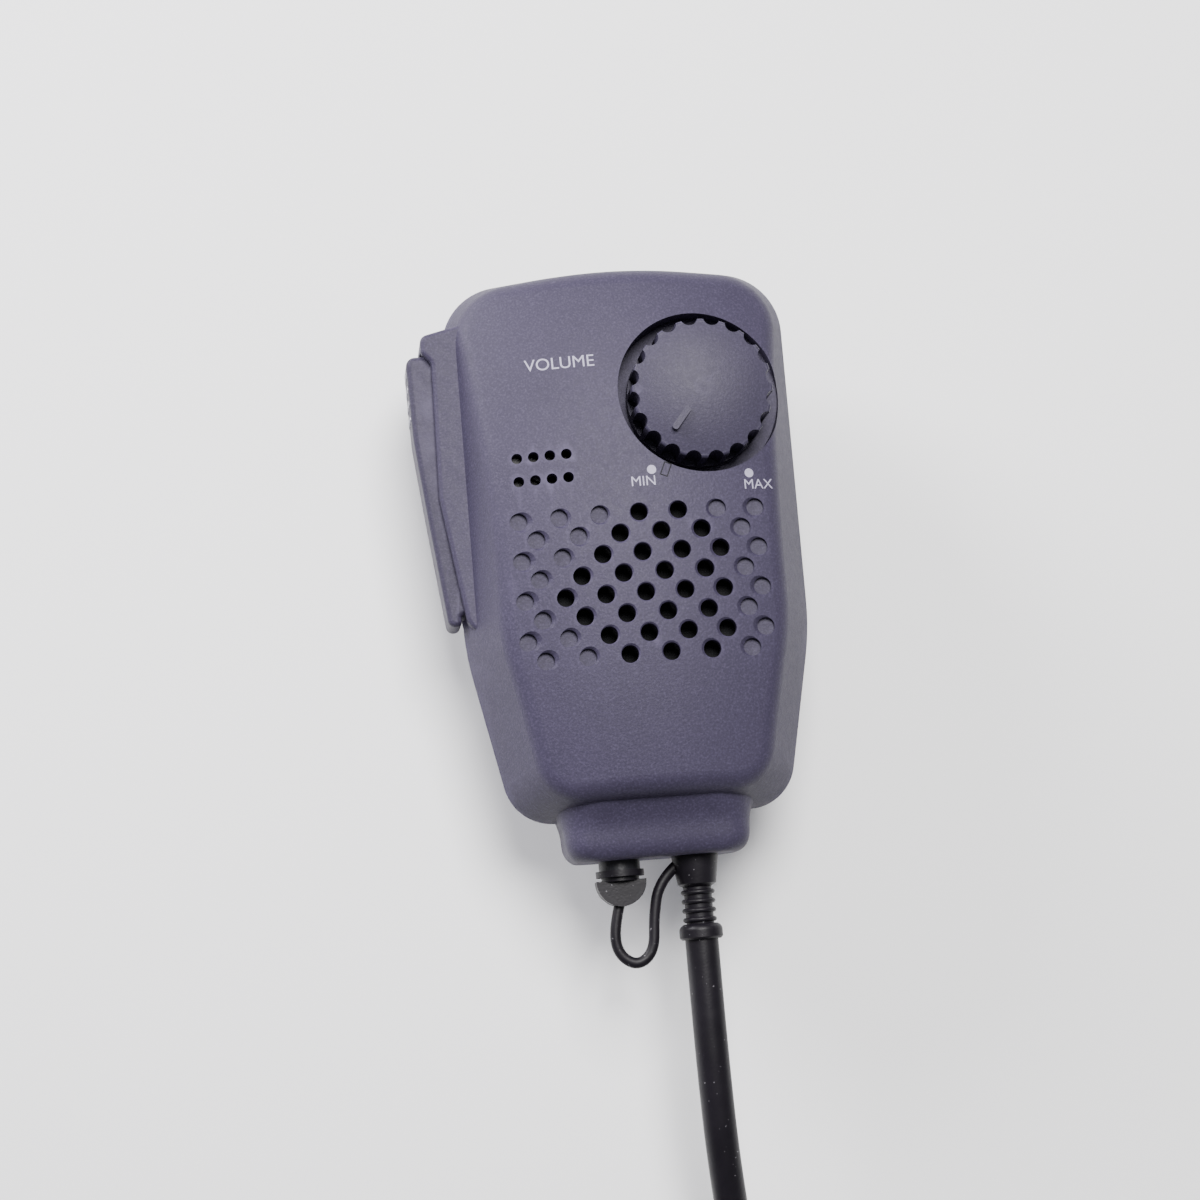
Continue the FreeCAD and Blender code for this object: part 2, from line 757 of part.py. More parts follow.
def make_socket():
    case = box("6.6", "12", "6.6", "-side_x - 3.3", "-37", "parting_z - 3.3")
    barrel = cylinder("socket_nose", "-37 - socket_end_y + 1", "-side_x", "-36", "parting_z", "-y")
    bore = cylinder("socket_bore", "17", "-side_x", "-30", "parting_z", "-y")
    node(cut(fuse(case, barrel), bore), "earphone_socket")
    end = D["socket_end_y"]
    r = D["socket_bore"] - 0.1
    stem = [
        (0.0, end + 6.5),
        (r - 0.4, end + 6.5),
        (r, end + 6.0),
        (r, end),
        (3.45, end),
        (3.45, end - 0.9),
        (2.7, end - 0.9),
        (2.7, end - 1.5),
        (0.0, end - 1.5),
    ]
    plug = turned_along("cap_plug", stem, "-side_x")
    tab = new_body("cap_tab")
    low = end - 1.4
    trace(sketch(tab, level="-1.5"), (-3.55, low), ((0.0, low - 3.7), (3.55, low)))
    pad(tab, tab.Group[-1], "3")
    put(tab, "-side_x", "0", "parting_z")
    node(fuse(plug, tab), "socket_cap")
    make_strap()


def make_strap():
    """The cap's strap: a loop that hangs below the cap's tab and ends in the strain relief."""
    z = D["parting_z"]
    path = [
        (-5.7, -48.95),
        (-6.7, -51.8),
        (-6.6, -56.6),
        (-1.4, -56.6),
        (-1.0, -49.2),
        (0.2, -45.4),
        (2.9, -43.4),
    ]
    spine, _ = soft_path([(x, y, z) for x, y in path])
    start = Vector(*path[0], z)
    section = Part.Wire([Part.Ellipse(start, 0.8, 0.65).toShape()])
    section.rotate(start, Vector(1, 0, 0), 90)
    strap = DOC.addObject("Part::Feature", "strap")
    strap.Shape = spine.makePipeShell([section], True, True)
    node(strap, "cap_strap")


def make_strain_relief():
    end = D["relief_end_y"]
    profile = [
        (0.0, -37.0),
        (2.6, -37.0),
        (2.6, -38.6),
        (4.3, -38.6),
        (4.3, -40.2),
        (3.35, -40.2),
        (3.35, -42.6),
        (2.75, -46.4),
    ]
    for rib in range(4):
        y = -46.9 - 1.3 * rib
        profile += [(2.0, y), (2.0, y - 0.35), ((2.42, y - 0.7), (2.0, y - 1.05))]
    profile += [
        (2.0, end + 2.2),
        ((2.85, end + 1.9), (3.1, end + 1.3)),
        (3.1, end + 0.3),
        (2.8, end),
        (0.0, end),
    ]
    node(turned_along("relief", profile, "side_x"), "strain_relief")
    node(cylinder("2.2", "9", "side_x", "-28", "parting_z", "-y"), "cable_end")


# Belt clip


def make_clip():
    low = "jaw_thick + clip_gap"
    make_swivel("swivel_y", low)
    make_clip_back("swivel_y", low)
    make_jaw()
    node(cylinder("hinge_radius", "2 * clip_half", "-clip_half", "hinge_y", "hinge_z", "x"), "clip_pin")
    coil_spring("clip_spring", 0.35, 1.85, 7, 8.0, -4.0, D["hinge_y"], D["hinge_z"])


def clip_plan(body, end_y, level="0"):
    """The outline that the two leaves of the clip share, apart from where it ends."""
    corners = mirrored([(D["clip_half"], 24.0, 3.0), (D["clip_half"], end_y, 4.0)])
    return rounded(sketch(body, level=level), corners)


def make_swivel(swivel, low):
    disc = cylinder("6.5", "back_z - washer_z", "0", swivel, "washer_z")
    node(cut(disc, cylinder("swivel_radius", "4", "0", swivel, "washer_z - 1")), "swivel_washer")
    screw = fuse(
        cylinder("3.4", "1.4", "0", swivel, low + " + 0.1"),
        cylinder("swivel_radius", "6", "0", swivel, low + " + 1.4"),
    )
    node(screw, "swivel_screw")


def make_clip_back(swivel, low):
    back = new_body("clip_plate")
    pad(back, clip_plan(back, -23.0, low), "clip_thick")
    put(back)
    sides = ("-clip_half", "clip_half - 1.8")
    ears = [box("1.8", "7", "5", x, "hinge_y - 3.5", low + " - 4.6") for x in sides]
    plate = cut(
        fuse(back, *ears),
        cylinder("swivel_radius + running_gap", "9", "0", swivel, low + " - 1"),
        cylinder("3.8", "1.9", "0", swivel, low + " - 0.2"),
        cylinder("hinge_radius", "40", "-20", "hinge_y", "hinge_z", "x"),
    )
    node(plate, "clip_back")


def make_jaw():
    jaw = new_body("jaw")
    pad(jaw, clip_plan(jaw, D["jaw_end_y"]), "jaw_thick")
    lugs = []
    for x in ("-clip_half + 2.2", "clip_half - 3.8"):
        lugs.append(box("1.6", "4.2", "hinge_z", x, "hinge_y - 2.1", "0"))
        lugs.append(cylinder("2.1", "1.6", x, "hinge_y", "hinge_z", "x"))
    lip = box("14", "1.8", "3.9", "-7", "jaw_end_y + 0.8", "jaw_thick - 0.2")
    notches = [box("2.6", "8", "5", x, "hinge_y - 4", "-1") for x in ("-clip_half - 0.7", "clip_half - 1.9")]
    bored = cylinder("hinge_radius + running_gap", "40", "-20", "hinge_y", "hinge_z", "x")
    node(cut(fuse(jaw, lip, *lugs), bored, *notches), "clip_jaw")


# Cord


def soft_path(points):
    """Straight runs joined by tangent arcs, each as large as its two runs allow."""
    spots = [Vector(*point) for point in points]
    edges, radii, here = [], [], spots[0]
    for before, corner, after in zip(spots, spots[1:], spots[2:]):
        back = (before - corner).normalize()
        ahead = (after - corner).normalize()
        half = back.getAngle(ahead) / 2
        reach = 0.45 * min((before - corner).Length, (after - corner).Length)
        radius = reach * math.tan(half)
        middle = corner + (back + ahead).normalize() * (radius / math.sin(half) - radius)
        start, end = corner + back * reach, corner + ahead * reach
        edges.append(Part.LineSegment(here, start).toShape())
        edges.append(Part.Arc(start, middle, end).toShape())
        radii.append(radius)
        here = end
    edges.append(Part.LineSegment(here, spots[-1]).toShape())
    return Part.Wire(edges), radii


def cord_tube(name, points):
    """A tube of the cord's diameter along a route, checked against its section times its length."""
    spine, radii = soft_path(points)
    start = Vector(*points[0])
    ahead = (Vector(*points[1]) - start).normalize()
    circle = Part.Wire([Part.Circle(start, ahead, D["cord_radius"]).toShape()])
    tube = DOC.addObject("Part::Feature", name)
    tube.Shape = spine.makePipeShell([circle], True, True)
    share = tube.Shape.Volume / (math.pi * D["cord_radius"] ** 2 * spine.Length)
    print("%s: length %.1f, radii %s, volume %.4f of section times length" % (
        name, spine.Length, [round(radius, 1) for radius in radii], share))
    node(tube, name)


def make_cord():
    r = D["cord_radius"]
    x, y, mean = D["coil_x"], D["coil_y"], D["coil_radius"]
    join = x + mean
    cord_tube("cord_lead", [
        (D["side_x"], D["relief_end_y"], D["parting_z"]),
        (D["side_x"], -71.0, D["parting_z"]),
        (6.5, -88.5, 17.6),
        (8.8, -106.0, 9.6),
        (11.0, -121.5, 3.7),
        (join, y, r),
    ])
    away = join + 2.4
    cord_tube("cord_tail", [
        (away, y - 6.0, 3.9 * r / 1.35),
        (away + 0.1, y - 22.0, 7.2),
        (away + 0.9, y - 33.0, D["plug_z"]),
        (away + 0.9, D["plug_y"] + 27.0, D["plug_z"]),
    ])
    inner, outer, high = mean - 7.2, mean + 7.2, 8.9
    section = [
        (inner + 2.0, 0.0),
        (outer - 2.0, 0.0),
        ((outer - 0.5, 0.7), (outer, r)),
        (outer, 3.0),
        (outer - 2.4, high - 1.0),
        (outer - 4.4, high),
        (inner + 4.4, high),
        (inner + 2.4, high - 1.0),
        (inner, 3.0),
        (inner, r),
    ]
    node(turned("coil", section, "coil_x", "coil_y"), "cord_coil")
    band = cut(
        box("16.9", "6", "9.8", "coil_x - coil_radius - 8.3", "coil_y - 3", "0"),
        box("14.9", "8", "9", "coil_x - coil_radius - 7.3", "coil_y - 4", "-0.01"),
    )
    node(band, "cord_tie")


def make_plug():
    """The radio's two-pin plug, lying on its side with its pins towards -X."""
    x = D["coil_x"] + D["coil_radius"] + 3.3
    y = D["plug_y"]
    face = x - 5.5
    body = new_body("plug")
    plan = rounded(sketch(body), [
        (face, y + 13.0, 1.5),
        (face, y - 9.5, 1.5),
        (x + 4.0, y - 9.5, 3.0),
        (x + 5.0, y + 8.0, 6.0),
        (x + 3.6, y + 13.0, 1.5),
    ])
    block = pad(body, plan, "2 * plug_z")
    round_edges(body, block, lambda edge, middle: lowest(edge) > 9.0 or highest(edge) < 0.1, "1")
    node(body, "plug_body")
    make_pin("plug_pin_large", "plug_large", 14.0, face, y + 1.75 - D["plug_pitch"] / 2)
    make_pin("plug_pin_small", "plug_small", 11.0, face, y + 1.75 + D["plug_pitch"] / 2)
    sleeve = new_body("sleeve")
    trace(sketch(sleeve), (0.0, y + 13.0), (3.9, y + 13.0), (2.9, y + 27.0), (0.0, y + 27.0))
    revolve(sleeve, sleeve.Group[-1])
    put(sleeve, str(x), "0", "plug_z")
    node(sleeve, "plug_relief")


def make_pin(label, radius, length, face, y):
    """One of the plug's pins, with a tapered tip."""
    tip = 1.5
    shank = cylinder(radius, str(length - tip), str(face), str(y), "plug_z", "-x")
    point = cone(radius, radius + " - 0.6", str(tip), str(face - length + tip), str(y), "plug_z", "-x")
    node(fuse(shank, point), label)


def main():
    make_sheet()
    make_front_shell()
    make_rear_shell()
    make_fasteners()
    make_speaker()
    make_volume_control()
    make_board()
    make_lever()
    make_switch()
    make_lever_spring()
    make_socket()
    make_strain_relief()
    make_clip()
    make_cord()
    make_plug()
    finish()


def finish():
    DOC.recompute()
    bad = [item.Name for item in DOC.Objects if {"Invalid", "Error"} & set(item.State)]
    if bad:
        raise RuntimeError("these objects failed: " + ", ".join(bad))
    os.makedirs("parts", exist_ok=True)
    for thing in NODES:
        shape = thing.Shape
        if shape.isNull() or not shape.isValid() or not shape.Solids:
            raise RuntimeError(thing.Label + " has no valid solid")
        print("%-22s %2d solids %10.2f mm3" % (thing.Label, len(shape.Solids), shape.Volume))
        shape.exportStep("parts/%s.step" % thing.Label)


main()
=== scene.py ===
"""The looks of a hand microphone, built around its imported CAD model."""

import math

import bmesh
import bpy
from mathutils import Matrix, Vector


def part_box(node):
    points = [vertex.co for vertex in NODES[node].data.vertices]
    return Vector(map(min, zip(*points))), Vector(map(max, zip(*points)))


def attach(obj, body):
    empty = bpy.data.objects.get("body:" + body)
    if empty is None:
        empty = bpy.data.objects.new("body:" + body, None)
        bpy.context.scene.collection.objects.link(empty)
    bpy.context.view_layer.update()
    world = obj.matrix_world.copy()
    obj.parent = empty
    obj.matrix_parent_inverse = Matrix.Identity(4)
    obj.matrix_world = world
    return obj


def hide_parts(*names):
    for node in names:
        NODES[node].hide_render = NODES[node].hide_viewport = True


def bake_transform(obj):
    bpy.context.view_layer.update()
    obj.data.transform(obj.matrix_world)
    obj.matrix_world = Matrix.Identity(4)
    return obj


MM = 0.001

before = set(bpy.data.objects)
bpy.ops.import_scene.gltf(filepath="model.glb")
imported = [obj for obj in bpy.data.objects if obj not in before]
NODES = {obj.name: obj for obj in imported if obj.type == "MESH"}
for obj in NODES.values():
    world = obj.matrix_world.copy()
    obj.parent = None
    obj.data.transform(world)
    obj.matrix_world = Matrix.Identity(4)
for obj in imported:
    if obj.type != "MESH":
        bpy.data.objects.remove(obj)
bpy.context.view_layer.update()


# Helpers, and places read from the frame

def middle(node):
    low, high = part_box(node)
    return (low + high) / 2


def add_object(name, data):
    """Put a new object into the scene."""
    made = bpy.data.objects.new(name, data)
    bpy.context.scene.collection.objects.link(made)
    return made


FRONT_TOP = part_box("front_shell")[1].z
SIDE_X = middle("strain_relief").x
PARTING_Z = middle("strain_relief").z
COIL = middle("cord_coil")

# The front face is a crown: it turns about a line along Y and bows along Y as well.
CROWN_RADIUS = 61.0 * MM
BOW_RADIUS = 155.0 * MM
APEX_Y = -4.5 * MM


def crown_height(x, y):
    """The height of the housing's front face above the rest plane."""
    reach = CROWN_RADIUS - BOW_RADIUS + math.sqrt(BOW_RADIUS**2 - (y - APEX_Y) ** 2)
    return FRONT_TOP - CROWN_RADIUS + math.sqrt(reach**2 - x**2)


# Camera, light and floor

MIDDLE = Vector((0, 0, 0.02))
FLOOR_REACH = 3.0
FLOOR_DROP = 0.0002


def make_camera():
    data = bpy.data.cameras.new("camera")
    data.lens = 84.0
    data.sensor_width = 36.0
    data.clip_start = 0.01
    camera = add_object("camera", data)
    camera.location = (-0.04816, -0.05891, 0.41890)
    camera.rotation_euler = [math.radians(angle) for angle in (8.198, -5.526, -4.758)]
    bpy.context.scene.camera = camera


def area_light(name, place, size, power, colour):
    """A round lamp that points at the middle of the microphone."""
    data = bpy.data.lights.new(name, "AREA")
    data.shape = "DISK"
    data.size = size
    data.energy = power
    data.color = colour
    light = add_object(name, data)
    light.location = place
    aim = MIDDLE - Vector(place)
    light.rotation_euler = aim.to_track_quat("-Z", "Y").to_euler()


def make_studio():
    world = bpy.data.worlds.new("studio")
    world.use_nodes = True
    back = world.node_tree.nodes["Background"]
    back.inputs["Color"].default_value = (0.93, 0.94, 1.0, 1.0)
    back.inputs["Strength"].default_value = 0.30
    bpy.context.scene.world = world
    area_light("key", (0.03, 0.23, 0.64), 0.32, 9.4, (1.0, 0.99, 0.98))
    area_light("left", (-0.42, 0.38, 0.24), 0.28, 6.0, (0.98, 0.97, 1.0))
    mesh = bpy.data.meshes.new("floor")
    corners = [(x * FLOOR_REACH, y * FLOOR_REACH, 0) for x, y in ((-1, -1), (1, -1), (1, 1), (-1, 1))]
    mesh.from_pydata(corners, [], [(0, 1, 2, 3)])
    floor = add_object("floor", mesh)
    floor.location.z = -FLOOR_DROP
    material = bpy.data.materials.new("floor")
    material.use_nodes = True
    shader = material.node_tree.nodes["Principled BSDF"]
    shader.inputs["Base Color"].default_value = (0.95, 0.95, 0.96, 1.0)
    shader.inputs["Roughness"].default_value = 0.75
    mesh.materials.append(material)


# Material building blocks

class Paint:
    """A material under construction: one principled shader and the nodes that feed it."""

    def __init__(self, name, colour, roughness, metallic=0.0):
        self.material = bpy.data.materials.new(name)
        self.material.use_nodes = True
        self.tree = self.material.node_tree
        self.shader = self.tree.nodes["Principled BSDF"]
        self.shader.inputs["Roughness"].default_value = roughness
        self.shader.inputs["Metallic"].default_value = metallic
        self.shader.inputs["Specular IOR Level"].default_value = 0.22
        self.colour = colour
        self.roughness = roughness
        self.place = self.node("ShaderNodeTexCoord").outputs["Object"]
        self.height = None
        self.tone = None

    def node(self, kind, **values):
        made = self.tree.nodes.new(kind)
        for name, value in values.items():
            setattr(made, name, value)
        return made

    def link(self, source, target):
        self.tree.links.new(source, target)

    def noise(self, scale, detail=2.0, stretch=None, roughness=0.5):
        source = self.place
        if stretch:
            mapping = self.node("ShaderNodeMapping")
            mapping.inputs["Scale"].default_value = stretch
            self.link(source, mapping.inputs["Vector"])
            source = mapping.outputs["Vector"]
        texture = self.node("ShaderNodeTexNoise")
        texture.inputs["Scale"].default_value = scale
        texture.inputs["Detail"].default_value = detail
        texture.inputs["Roughness"].default_value = roughness
        self.link(source, texture.inputs["Vector"])
        return texture.outputs["Fac"]

    def ramp(self, source, *stops):
        """Remap a value through (position, brightness) stops."""
        node = self.node("ShaderNodeValToRGB")
        elements = node.color_ramp.elements
        while len(elements) < len(stops):
            elements.new(0.5)
        for element, (position, level) in zip(elements, stops):
            element.position = position
            element.color = (level, level, level, 1.0)
        self.link(source, node.inputs["Fac"])
        return node.outputs["Color"]

    def tint(self, amount, colour):
        """Mix a colour over what is there, by a grey value."""
        mix = self.node("ShaderNodeMix", data_type="RGBA")
        if self.tone is None:
            mix.inputs["A"].default_value = (*self.colour, 1.0)
        else:
            self.link(self.tone, mix.inputs["A"])
        mix.inputs["B"].default_value = (*colour, 1.0)
        self.link(amount, mix.inputs["Factor"])
        self.tone = mix.outputs["Result"]
        return self

    def rough(self, source, low, high):
        span = self.node("ShaderNodeMapRange")
        span.inputs["To Min"].default_value = low
        span.inputs["To Max"].default_value = high
        self.link(source, span.inputs["Value"])
        self.link(span.outputs["Result"], self.shader.inputs["Roughness"])
        return self

    def bump(self, source, depth, strength=1.0):
        node = self.node("ShaderNodeBump")
        node.inputs["Strength"].default_value = strength
        node.inputs["Distance"].default_value = depth
        self.link(source, node.inputs["Height"])
        if self.height is not None:
            self.link(self.height, node.inputs["Normal"])
        self.height = node.outputs["Normal"]
        return self

    def painted_edge_highlight(self, colour, low=0.53, high=0.62):
        """A paler tone where the surface turns sharply: a painted highlight along edges and rims, broken
        into patches by noise.
        """
        geometry = self.node("ShaderNodeNewGeometry")
        edge = self.ramp(geometry.outputs["Pointiness"], (low, 0.0), (high, 1.0))
        patch = self.ramp(self.noise(260.0, 3.0), (0.35, 0.15), (0.75, 1.0))
        both = self.node("ShaderNodeMath", operation="MULTIPLY")
        self.link(edge, both.inputs[0])
        self.link(patch, both.inputs[1])
        return self.tint(both.outputs["Value"], colour)

    def dust(self, colour=(0.16, 0.155, 0.17), share=0.80):
        """A few pale specks."""
        spots = self.noise(2400.0, 0.0)
        return self.tint(self.ramp(spots, (share, 0.0), (share + 0.03, 0.7)), colour)

    def done(self):
        if self.tone is None:
            self.shader.inputs["Base Color"].default_value = (*self.colour, 1.0)
        else:
            self.link(self.tone, self.shader.inputs["Base Color"])
        if self.height is not None:
            self.link(self.height, self.shader.inputs["Normal"])
        return self.material


def moulded(name, colour, roughness=0.54, grain=0.00005, speck=0.10):
    """Textured moulded plastic: fine spark-eroded grain, faint mottling and a painted highlight along sharp
    edges.
    """
    paint = Paint(name, colour, roughness)
    lighter = tuple(min(1.0, level * 1.9 + 0.006) for level in colour)
    darker = scaled(colour, 0.62)
    fine = paint.noise(3300.0, 2.0, roughness=0.6)
    paint.tint(paint.ramp(paint.noise(120.0, 4.0), (0.40, 0.0), (0.75, 0.25)), darker)
    paint.tint(paint.ramp(fine, (0.50, 0.0), (0.76, 5 * speck)), lighter)
    paint.tint(paint.ramp(fine, (0.24, 5 * speck), (0.48, 0.0)), darker)
    # Painted highlight: a paler tone along sharp edges and hole rims.
    paint.painted_edge_highlight(lighter)
    paint.rough(paint.noise(900.0, 2.0), roughness - 0.06, roughness + 0.08)
    paint.bump(paint.noise(2600.0, 3.0, roughness=0.7), grain)
    paint.bump(paint.noise(70.0, 2.0), grain * 1.2, 0.5)
    return paint.done()


def scaled(colour, factor):
    return tuple(level * factor for level in colour)


def rubbery(name, colour, roughness=0.42, dust=0.80):
    """Soft black rubber with paler bloom and a few specks of dust."""
    paint = Paint(name, colour, roughness)
    paint.tint(paint.ramp(paint.noise(150.0, 4.0), (0.40, 0.0), (0.75, 0.5)), scaled(colour, 1.9))
    paint.dust(share=dust)
    paint.rough(paint.noise(420.0, 3.0), roughness - 0.08, roughness + 0.12)
    paint.bump(paint.noise(3000.0, 2.0), 0.00002)
    paint.bump(paint.noise(300.0, 2.0), 0.00003, 0.6)
    return paint.done()


def metallic(name, colour, roughness):
    """Metal with fine brushing along Z and darker stains."""
    paint = Paint(name, colour, roughness, 1.0)
    brushed = paint.noise(900.0, 3.0, (1.0, 1.0, 18.0))
    paint.tint(paint.ramp(brushed, (0.35, 0.0), (0.75, 0.5)), scaled(colour, 0.72))
    paint.tint(paint.ramp(paint.noise(120.0, 4.0), (0.55, 0.0), (0.85, 0.4)), scaled(colour, 0.5))
    paint.rough(brushed, roughness - 0.08, roughness + 0.12)
    paint.bump(brushed, 0.00001)
    return paint.done()


def woven(name, colour, pitch):
    """A plain weave, from two crossed waves."""
    paint = Paint(name, colour, 0.85)
    heights = []
    for axis in ("X", "Y"):
        wave = paint.node("ShaderNodeTexWave", bands_direction=axis)
        wave.inputs["Scale"].default_value = 0.31 / pitch
        wave.inputs["Distortion"].default_value = 0.6
        paint.link(paint.place, wave.inputs["Vector"])
        heights.append(wave.outputs["Fac"])
    cross = paint.node("ShaderNodeMath", operation="MULTIPLY")
    paint.link(heights[0], cross.inputs[0])
    paint.link(heights[1], cross.inputs[1])
    paint.tint(paint.ramp(cross.outputs["Value"], (0.1, 0.6), (0.7, 0.0)), scaled(colour, 0.4))
    paint.shader.inputs["Sheen Weight"].default_value = 0.25
    paint.bump(cross.outputs["Value"], 0.00008)
    return paint.done()


def circuit(name):
    """Green solder mask over copper tracks."""
    paint = Paint(name, (0.012, 0.10, 0.035), 0.30)
    tracks = paint.node("ShaderNodeTexBrick")
    tracks.inputs["Scale"].default_value = 240.0
    tracks.inputs["Mortar Size"].default_value = 0.035
    paint.link(paint.place, tracks.inputs["Vector"])
    paint.tint(paint.ramp(tracks.outputs["Fac"], (0.2, 0.0), (0.8, 0.8)), (0.05, 0.22, 0.07))
    paint.rough(paint.noise(300.0), 0.24, 0.40)
    paint.bump(tracks.outputs["Fac"], 0.00003)
    return paint.done()


def paper(name):
    """Dark pressed paper with long fibres."""
    paint = Paint(name, (0.030, 0.028, 0.027), 0.9)
    fibres = paint.noise(1500.0, 5.0, (1.0, 4.0, 1.0), 0.7)
    paint.tint(paint.ramp(fibres, (0.45, 0.0), (0.75, 0.7)), (0.085, 0.08, 0.075))
    paint.bump(fibres, 0.00006)
    return paint.done()


def printed(name):
    """Pad-printed ink, slightly broken by the grain below it."""
    paint = Paint(name, (0.34, 0.32, 0.42), 0.55)
    paint.tint(paint.ramp(paint.noise(2600.0, 3.0), (0.25, 0.55), (0.45, 0.0)), (0.20, 0.19, 0.26))
    paint.bump(paint.noise(3000.0, 2.0), 0.00001)
    return paint.done()


def make_materials():
    charcoal = (0.0355, 0.0295, 0.0550)
    return {
        "housing": moulded("housing_plastic", charcoal),
        "knob": moulded("knob_plastic", (0.033, 0.028, 0.050), 0.50, 0.00004, 0.08),
        "lever": moulded("lever_plastic", (0.031, 0.026, 0.047), 0.54),
        "clip": moulded("clip_plastic", (0.020, 0.018, 0.026), 0.44),
        "chip": moulded("chip_package", (0.020, 0.020, 0.022), 0.55),
        "acetal": moulded("acetal", (0.55, 0.54, 0.50), 0.42),
        "black": moulded("black_plastic", (0.013, 0.013, 0.016), 0.35),
        "rubber": rubbery("soft_rubber", (0.0050, 0.0040, 0.0062)),
        "jacket": rubbery("cable_jacket", (0.0050, 0.0040, 0.0062), 0.40, 0.82),
        "plug": rubbery("plug_moulding", (0.0060, 0.0052, 0.0072), 0.45, 0.82),
        "band": woven("hook_and_loop", (0.030, 0.030, 0.036), 0.0007),
        "cloth": woven("acoustic_cloth", (0.010, 0.010, 0.012), 0.0004),
        "silver": metallic("silvery_dots", (0.42, 0.41, 0.47), 0.45),
        "dark_steel": metallic("black_screw", (0.075, 0.075, 0.08), 0.38),
        "steel": metallic("zinc_steel", (0.55, 0.56, 0.58), 0.34),
        "can": metallic("aluminium_can", (0.62, 0.62, 0.64), 0.38),
        "brass": metallic("turned_brass", (0.55, 0.40, 0.17), 0.30),
        "nickel": metallic("nickel_pin", (0.66, 0.64, 0.60), 0.16),
        "magnet": metallic("plated_magnet", (0.16, 0.16, 0.17), 0.40),
        "board": circuit("solder_mask"),
        "paper": paper("paper_cone"),
        "ink": printed("printed_mark"),
        # Near-black painted shade standing for the inside of an engraved groove.
        "line": moulded("groove_shade_line", (0.003, 0.003, 0.004), 0.7),
    }


# Which CAD nodes take which material.
FINISH = {
    "housing": ("front_shell", "rear_shell", "spring_seat"),
    "knob": ("volume_knob",),
    "lever": ("talk_lever",),
    "clip": ("clip_back", "clip_jaw"),
    "chip": ("board_chips", "talk_switch"),
    "acetal": ("switch_plunger", "swivel_washer"),
    "black": ("earphone_socket",),
    "rubber": ("socket_cap", "cap_strap", "strain_relief", "mic_boot"),
    "jacket": ("cable_end", "cord_lead", "cord_coil", "cord_tail"),
    "plug": ("plug_body", "plug_relief"),
    "band": ("cord_tie",),
    "cloth": ("speaker_cloth",),
    "silver": ("lever_dots",),
    "dark_steel": ("shell_screws", "swivel_screw"),
    "steel": (
        "board_screws", "speaker_frame", "potentiometer_can", "volume_shaft", "lever_pin", "lever_spring",
        "clip_pin", "clip_spring",
    ),
    "can": ("mic_capsule",),
    "brass": ("potentiometer_bushing",),
    "nickel": ("plug_pin_large", "plug_pin_small"),
    "magnet": ("speaker_magnet",),
    "board": ("circuit_board",),
    "paper": ("speaker_cone",),
}


def finish_nodes(materials):
    for finish, names in FINISH.items():
        for name in names:
            mesh = NODES[name].data
            mesh.materials.clear()
            mesh.materials.append(materials[finish])


# The cord

CORD = 4.8 * MM


def soft(share, begin, end):
    """0 before begin, 1 after end, and a smooth step between them."""
    t = min(1.0, max(0.0, (share - begin) / (end - begin)))
    return t * t * (3 - 2 * t)


def coil_points(turns=5, steps=16):
    """Three turns inwards on the table, then two outwards on top of them."""
    radii = [31.8, 27.0, 22.2, 24.6, 29.4, 29.4]
    stack = 0.93 * CORD
    swell = 1.0 / math.cos(math.pi / steps)
    points = []
    for step in range(turns * steps + 1):
        turn = min(step // steps, turns - 1)
        share = step / steps - turn
        lift = soft(share, 0.2, 0.5) if turn == 2 else float(turn > 2)
        shift = soft(share, 0.6, 1.0)
        radius = (radii[turn] * (1 - shift) + radii[turn + 1] * shift) * swell * MM
        angle = -2 * math.pi * step / steps
        across = (radius * math.cos(angle), radius * math.sin(angle))
        points.append((COIL.x + across[0], COIL.y + across[1], CORD / 2 + lift * stack))
    return points


def cord_points():
    """Control points of the cord: off the neck, down to the table, round the coil and to the plug."""
    start_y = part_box("strain_relief")[0].y
    plug = middle("plug_relief")
    lead = [
        (SIDE_X, start_y, PARTING_Z),
        (SIDE_X, start_y - 17.0 * MM, PARTING_Z),
        (SIDE_X + 1.0 * MM, -88.5 * MM, 17.4 * MM),
        (SIDE_X + 3.8 * MM, -106.0 * MM, 9.4 * MM),
        (SIDE_X + 8.0 * MM, -119.0 * MM, 4.0 * MM),
        (SIDE_X + 10.6 * MM, -127.5 * MM, 2.5 * MM),
    ]
    tail = [
        (plug.x - 0.8 * MM, -145.0 * MM, 7.1 * MM),
        (plug.x - 0.6 * MM, -154.0 * MM, 6.9 * MM),
        (plug.x - 0.1 * MM, -162.0 * MM, 5.6 * MM),
        (plug.x, -169.0 * MM, plug.z),
        (plug.x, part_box("plug_relief")[1].y, plug.z),
    ]
    return lead + coil_points() + tail


def add_nurbs(curve, points):
    """Add one quadratic spline that starts and ends at its outer control points."""
    spline = curve.splines.new("NURBS")
    spline.points.add(len(points) - 1)
    for point, place in zip(spline.points, points):
        point.co = (*place, 1.0)
    spline.order_u = 3
    spline.use_endpoint_u = True


def make_cord(material):
    data = bpy.data.curves.new("cord", "CURVE")
    data.dimensions = "3D"
    data.bevel_depth = CORD / 2
    data.bevel_resolution = 8
    data.resolution_u = 8
    data.use_fill_caps = True
    points = cord_points()
    add_nurbs(data, points)
    data.materials.append(material)
    cord = add_object("cable", data)
    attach(cord, "housing")
    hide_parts("cord_lead", "cord_coil", "cord_tail")
    return cord, points[0]


# The cap's strap, the lever's spring and the cord's tie

# Control points of the strap at the parting height, in millimetres, from the cap to the strain relief.
STRAP = [
    (-5.7, -48.0),
    (-6.9, -51.6),
    (-6.7, -55.4),
    (-4.0, -57.4),
    (-1.4, -55.4),
    (-1.1, -50.4),
    (0.1, -45.6),
    (2.9, -43.4),
]
STRAP_RADII = (0.78 * MM, 0.65 * MM)
TIE_HALF = 0.35 * MM


